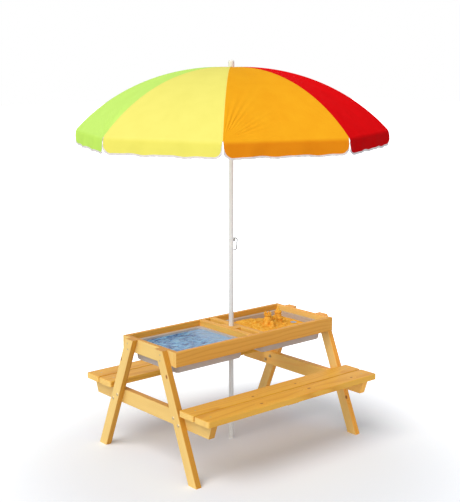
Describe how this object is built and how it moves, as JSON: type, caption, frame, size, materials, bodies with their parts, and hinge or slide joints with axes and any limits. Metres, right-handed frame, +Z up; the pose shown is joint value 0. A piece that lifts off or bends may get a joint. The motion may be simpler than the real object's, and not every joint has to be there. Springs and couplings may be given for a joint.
{
  "type": "picnic table with sandbox",
  "caption": "Child's wooden picnic table with splayed legs, slatted benches, a lift-out water tub and sand tub, and a folding parasol in panels of different colours.",
  "frame": {"origin": "on the floor under the middle of the parasol pole", "axes": "+X along the table from the water tub to the sand tub, +Y from the front bench to the back bench, +Z up"},
  "size_m": [1.3274, 1.3274, 1.676],
  "materials": {
    "pine_rail": "varnished pine, satin",
    "pine_end": "varnished pine, satin",
    "pine_cross": "varnished pine, satin",
    "pine_ledge": "varnished pine, satin",
    "pine_leg": "varnished pine, satin",
    "pine_beam": "varnished pine, satin",
    "pine_bench": "varnished pine, satin",
    "pine_batten": "varnished pine, satin",
    "beech_dowel": "plain",
    "zinc_screw": "zinc plated",
    "zinc_bolt": "zinc plated",
    "tub_plastic": "moulded, light grey",
    "water": "clear, light ripples",
    "sand": "damp play sand",
    "pole_paint": "white gloss paint",
    "pole_plastic": "white moulded plastic",
    "pin_steel": "zinc plated",
    "ring_plastic": "light grey moulded plastic",
    "rib_paint": "white paint",
    "fabric_lime": "woven polyester",
    "fabric_yellow": "woven polyester",
    "fabric_orange": "woven polyester",
    "fabric_red": "woven polyester"
  },
  "bodies": {
    "table": {"back_bench_batten": "pine_batten", "back_bench_inner_plank": "pine_bench", "back_bench_outer_plank": "pine_bench", "back_ledges": "pine_ledge", "back_rail": "pine_rail", "beam_bolts": "zinc_bolt", "bolt_nuts": "zinc_bolt", "bolt_washers": "zinc_bolt", "frame_dowels": "beech_dowel", "front_bench_batten": "pine_batten", "front_bench_inner_plank": "pine_bench", "front_bench_outer_plank": "pine_bench", "front_ledges": "pine_ledge", "front_rail": "pine_rail", "left_back_leg": "pine_leg", "left_cross_rail": "pine_cross", "left_end_board": "pine_end", "left_front_leg": "pine_leg", "left_seat_beam": "pine_beam", "pole_guide_block": "pine_cross", "right_back_leg": "pine_leg", "right_cross_rail": "pine_cross", "right_end_board": "pine_end", "right_front_leg": "pine_leg", "right_seat_beam": "pine_beam", "wood_screws": "zinc_screw"},
    "pole_foot": {"pole_foot_plug": "pole_plastic"},
    "lower_pole": {"lower_pole": "pole_paint"},
    "upper_pole": {"upper_pole": "pole_paint", "pole_cap": "pole_plastic", "crown": "pole_plastic", "crown_pins": "pin_steel", "canopy_lime_panels": "fabric_lime", "canopy_yellow_panels": "fabric_yellow", "canopy_orange_panels": "fabric_orange", "canopy_red_panels": "fabric_red"},
    "lock_pin": {"lock_pin": "pin_steel"},
    "pull_ring": {"pull_ring": "ring_plastic"},
    "runner": {"runner": "pole_plastic"},
    "left_tub": {"left_tub": "tub_plastic", "water_fill": "water"},
    "right_tub": {"right_tub": "tub_plastic", "sand_fill": "sand"},
    "rib_1": {"rib_1": "rib_paint"},
    "stretcher_1": {"stretcher_1": "rib_paint"},
    "rib_2": {"rib_2": "rib_paint"},
    "stretcher_2": {"stretcher_2": "rib_paint"},
    "rib_3": {"rib_3": "rib_paint"},
    "stretcher_3": {"stretcher_3": "rib_paint"},
    "rib_4": {"rib_4": "rib_paint"},
    "stretcher_4": {"stretcher_4": "rib_paint"},
    "rib_5": {"rib_5": "rib_paint"},
    "stretcher_5": {"stretcher_5": "rib_paint"},
    "rib_6": {"rib_6": "rib_paint"},
    "stretcher_6": {"stretcher_6": "rib_paint"},
    "rib_7": {"rib_7": "rib_paint"},
    "stretcher_7": {"stretcher_7": "rib_paint"},
    "rib_8": {"rib_8": "rib_paint"},
    "stretcher_8": {"stretcher_8": "rib_paint"}
  },
  "joints": [
    {"name": "umbrella_lift", "type": "slide", "parent": "table", "child": "pole_foot", "axis": [0, 0, 1], "range_m": [0, 0.53]},
    {"name": "umbrella_swivel", "type": "hinge", "parent": "pole_foot", "child": "lower_pole", "pos_m": [0, 0, 0], "axis": [0, 0, 1], "continuous": true},
    {"name": "upper_pole_lift", "type": "slide", "parent": "lower_pole", "child": "upper_pole", "axis": [0, 0, 1], "range_m": [0, 0.11]},
    {"name": "lock_pin_pull", "type": "slide", "parent": "upper_pole", "child": "lock_pin", "axis": [0.7593, -0.6508, 0], "range_m": [0, 0.026]},
    {"name": "ring_swing", "type": "hinge", "parent": "lock_pin", "child": "pull_ring", "pos_m": [0, 0, 0.906], "axis": [0.7593, -0.6508, 0], "continuous": true},
    {"name": "runner_slide", "type": "slide", "parent": "upper_pole", "child": "runner", "axis": [0, 0, -1], "range_m": [0, 0.47269], "deforming": ["canopy_lime_panels", "canopy_yellow_panels", "canopy_orange_panels", "canopy_red_panels"]},
    {"name": "left_tub_lift", "type": "slide", "parent": "table", "child": "left_tub", "axis": [0, 0, 1], "range_m": [0, 0.11]},
    {"name": "right_tub_lift", "type": "slide", "parent": "table", "child": "right_tub", "axis": [0, 0, 1], "range_m": [0, 0.11]},
    {"name": "rib_1_fold", "type": "hinge", "parent": "upper_pole", "child": "rib_1", "pos_m": [0.01999, 0.00059, 1.635], "axis": [-0.0297, 0.9996, 0], "range_deg": [0, 62]},
    {"name": "stretcher_1_fold", "type": "hinge", "parent": "rib_1", "child": "stretcher_1", "pos_m": [0.31523, 0.00936, 1.58892], "axis": [-0.0297, 0.9996, 0], "range_deg": [-124, 0]},
    {"name": "rib_2_fold", "type": "hinge", "parent": "upper_pole", "child": "rib_2", "pos_m": [0.01372, 0.01456, 1.635], "axis": [-0.7278, 0.6858, 0], "range_deg": [0, 62]},
    {"name": "stretcher_2_fold", "type": "hinge", "parent": "rib_2", "child": "stretcher_2", "pos_m": [0.21629, 0.22952, 1.58892], "axis": [-0.7278, 0.6858, 0], "range_deg": [-124, 0]},
    {"name": "rib_3_fold", "type": "hinge", "parent": "upper_pole", "child": "rib_3", "pos_m": [-0.00059, 0.01999, 1.635], "axis": [-0.9996, -0.0297, 0], "range_deg": [0, 62]},
    {"name": "stretcher_3_fold", "type": "hinge", "parent": "rib_3", "child": "stretcher_3", "pos_m": [-0.00936, 0.31523, 1.58892], "axis": [-0.9996, -0.0297, 0], "range_deg": [-124, 0]},
    {"name": "rib_4_fold", "type": "hinge", "parent": "upper_pole", "child": "rib_4", "pos_m": [-0.01456, 0.01372, 1.635], "axis": [-0.6858, -0.7278, 0], "range_deg": [0, 62]},
    {"name": "stretcher_4_fold", "type": "hinge", "parent": "rib_4", "child": "stretcher_4", "pos_m": [-0.22952, 0.21629, 1.58892], "axis": [-0.6858, -0.7278, 0], "range_deg": [-124, 0]},
    {"name": "rib_5_fold", "type": "hinge", "parent": "upper_pole", "child": "rib_5", "pos_m": [-0.01999, -0.00059, 1.635], "axis": [0.0297, -0.9996, 0], "range_deg": [0, 62]},
    {"name": "stretcher_5_fold", "type": "hinge", "parent": "rib_5", "child": "stretcher_5", "pos_m": [-0.31523, -0.00936, 1.58892], "axis": [0.0297, -0.9996, 0], "range_deg": [-124, 0]},
    {"name": "rib_6_fold", "type": "hinge", "parent": "upper_pole", "child": "rib_6", "pos_m": [-0.01372, -0.01456, 1.635], "axis": [0.7278, -0.6858, 0], "range_deg": [0, 62]},
    {"name": "stretcher_6_fold", "type": "hinge", "parent": "rib_6", "child": "stretcher_6", "pos_m": [-0.21629, -0.22952, 1.58892], "axis": [0.7278, -0.6858, 0], "range_deg": [-124, 0]},
    {"name": "rib_7_fold", "type": "hinge", "parent": "upper_pole", "child": "rib_7", "pos_m": [0.00059, -0.01999, 1.635], "axis": [0.9996, 0.0297, 0], "range_deg": [0, 62]},
    {"name": "stretcher_7_fold", "type": "hinge", "parent": "rib_7", "child": "stretcher_7", "pos_m": [0.00936, -0.31523, 1.58892], "axis": [0.9996, 0.0297, 0], "range_deg": [-124, 0]},
    {"name": "rib_8_fold", "type": "hinge", "parent": "upper_pole", "child": "rib_8", "pos_m": [0.01456, -0.01372, 1.635], "axis": [0.6858, 0.7278, 0], "range_deg": [0, 62]},
    {"name": "stretcher_8_fold", "type": "hinge", "parent": "rib_8", "child": "stretcher_8", "pos_m": [0.22952, -0.21629, 1.58892], "axis": [0.6858, 0.7278, 0], "range_deg": [-124, 0]}
  ],
  "couplings": [
    {"joint": "rib_1_fold", "follows": "runner_slide", "rad_per_m": 2.2892},
    {"joint": "stretcher_1_fold", "follows": "runner_slide", "rad_per_m": -4.5784},
    {"joint": "rib_2_fold", "follows": "runner_slide", "rad_per_m": 2.2892},
    {"joint": "stretcher_2_fold", "follows": "runner_slide", "rad_per_m": -4.5784},
    {"joint": "rib_3_fold", "follows": "runner_slide", "rad_per_m": 2.2892},
    {"joint": "stretcher_3_fold", "follows": "runner_slide", "rad_per_m": -4.5784},
    {"joint": "rib_4_fold", "follows": "runner_slide", "rad_per_m": 2.2892},
    {"joint": "stretcher_4_fold", "follows": "runner_slide", "rad_per_m": -4.5784},
    {"joint": "rib_5_fold", "follows": "runner_slide", "rad_per_m": 2.2892},
    {"joint": "stretcher_5_fold", "follows": "runner_slide", "rad_per_m": -4.5784},
    {"joint": "rib_6_fold", "follows": "runner_slide", "rad_per_m": 2.2892},
    {"joint": "stretcher_6_fold", "follows": "runner_slide", "rad_per_m": -4.5784},
    {"joint": "rib_7_fold", "follows": "runner_slide", "rad_per_m": 2.2892},
    {"joint": "stretcher_7_fold", "follows": "runner_slide", "rad_per_m": -4.5784},
    {"joint": "rib_8_fold", "follows": "runner_slide", "rad_per_m": 2.2892},
    {"joint": "stretcher_8_fold", "follows": "runner_slide", "rad_per_m": -4.5784}
  ]
}
